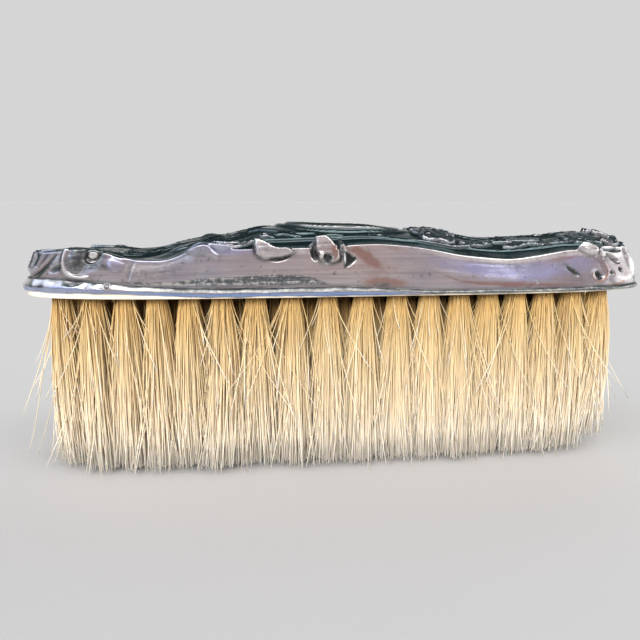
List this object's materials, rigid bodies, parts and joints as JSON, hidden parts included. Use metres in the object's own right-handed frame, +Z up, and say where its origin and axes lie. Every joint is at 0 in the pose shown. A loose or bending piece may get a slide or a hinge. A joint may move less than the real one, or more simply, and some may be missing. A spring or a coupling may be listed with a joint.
{
  "type": "vanity hairbrush",
  "caption": "Handle-less silver-backed vanity brush with a stamped floral back, an ivory-coloured board and dense pale natural bristle, standing on its bristle tips.",
  "frame": {"origin": "centre of the brush's length and width, in the plane of the bristle tips that it stands on", "axes": "+X along the brush's length, +Z up from the bristle tips to the silver back, -Y towards the long side that the viewer faces"},
  "size_m": [0.12, 0.032, 0.0458],
  "materials": {
    "silver": "polished, worn and lightly tarnished",
    "cement": "matte",
    "ivory_board": "satin",
    "brass_wire": "satin",
    "bristle": "satin natural hair"
  },
  "bodies": {
    "root": {"silver_back": "silver", "cement_filling": "cement", "brush_board": "ivory_board", "rim_pins": "silver", "drawing_wire_1": "brass_wire", "drawing_wire_2": "brass_wire", "drawing_wire_3": "brass_wire", "drawing_wire_4": "brass_wire", "drawing_wire_5": "brass_wire", "tuft_rank_01": "bristle", "tuft_rank_02": "bristle", "tuft_rank_03": "bristle", "tuft_rank_04": "bristle", "tuft_rank_05": "bristle", "tuft_rank_06": "bristle", "tuft_rank_07": "bristle", "tuft_rank_08": "bristle", "tuft_rank_09": "bristle", "tuft_rank_10": "bristle", "tuft_rank_11": "bristle", "tuft_rank_12": "bristle", "tuft_rank_13": "bristle", "tuft_rank_14": "bristle", "tuft_rank_15": "bristle", "tuft_rank_16": "bristle", "tuft_rank_17": "bristle", "tuft_rank_18": "bristle"}
  },
  "joints": []
}
